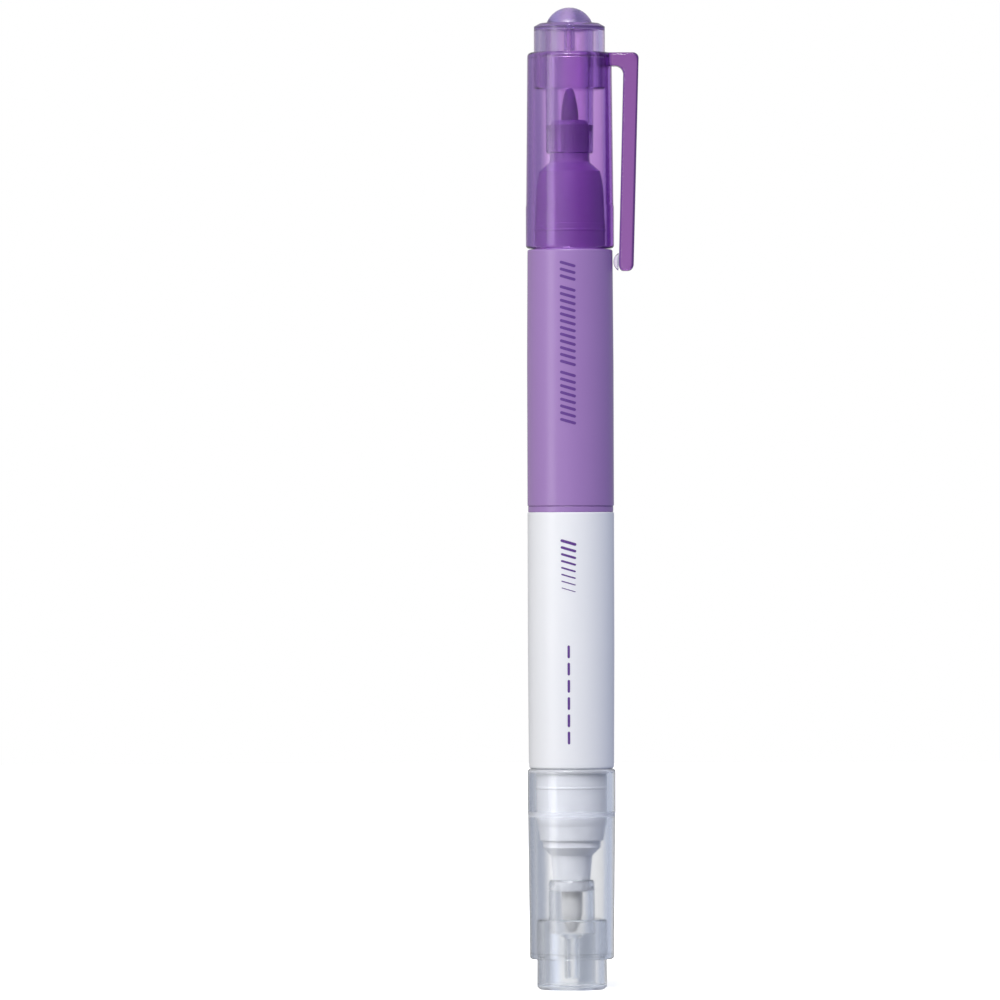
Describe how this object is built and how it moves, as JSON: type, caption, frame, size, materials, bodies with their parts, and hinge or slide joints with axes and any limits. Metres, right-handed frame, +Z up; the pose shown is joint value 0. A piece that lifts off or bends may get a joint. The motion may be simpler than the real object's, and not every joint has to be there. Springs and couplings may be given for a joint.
{
  "type": "fabric marking pen",
  "caption": "Slim double-ended fabric marking pen with a lilac half and a fine nib, a white half and a fatter eraser nib, pull-off translucent caps and a pocket clip.",
  "frame": {"origin": "centre of the eraser cap's flat end face, on which the pen stands", "axes": "+Z up the pen's axis to the marker end, +X towards the pocket clip, -Y the front"},
  "size_m": [0.0165, 0.0128, 0.143],
  "materials": {
    "lilac_plastic": "smooth moulded, soft gloss",
    "lilac_nose_plastic": "smooth moulded, soft gloss",
    "white_plastic": "smooth moulded, soft gloss",
    "purple_translucent": "translucent tinted, polished",
    "pale_translucent": "translucent pale tint, polished",
    "clear_plastic": "clear, slightly milky, polished",
    "marker_fibre": "bonded fibre, ink-soaked",
    "eraser_fibre": "bonded fibre, plain",
    "film": "thin film"
  },
  "bodies": {
    "pen_body": {"marker_barrel": "lilac_plastic", "eraser_barrel": "white_plastic", "centre_plug": "lilac_plastic", "marker_nose": "lilac_nose_plastic", "eraser_nose": "white_plastic", "eraser_nib_holder": "white_plastic", "marker_nib": "marker_fibre", "eraser_nib": "eraser_fibre", "marker_reservoir": "marker_fibre", "marker_reservoir_film": "film", "eraser_reservoir": "eraser_fibre", "eraser_reservoir_film": "film"},
    "marker_cap": {"marker_cap_tube": "purple_translucent", "marker_cap_plug": "purple_translucent", "marker_cap_dome": "pale_translucent"},
    "pocket_clip": {"pocket_clip": "purple_translucent"},
    "eraser_cap": {"eraser_cap_tube": "clear_plastic", "eraser_cap_plug": "clear_plastic"}
  },
  "joints": [
    {"name": "marker_cap_pull", "type": "slide", "parent": "pen_body", "child": "marker_cap", "axis": [0, 0, 1], "range_m": [0, 0.04]},
    {"name": "eraser_cap_pull", "type": "slide", "parent": "pen_body", "child": "eraser_cap", "axis": [0, 0, -1], "range_m": [0, 0.04]},
    {"name": "clip_flex", "type": "hinge", "parent": "marker_cap", "child": "pocket_clip", "pos_m": [0.0066, 0, 0.13542], "axis": [0, -1, 0], "range_deg": [0, 4], "stiffness_Nm_per_rad": 0.5}
  ]
}
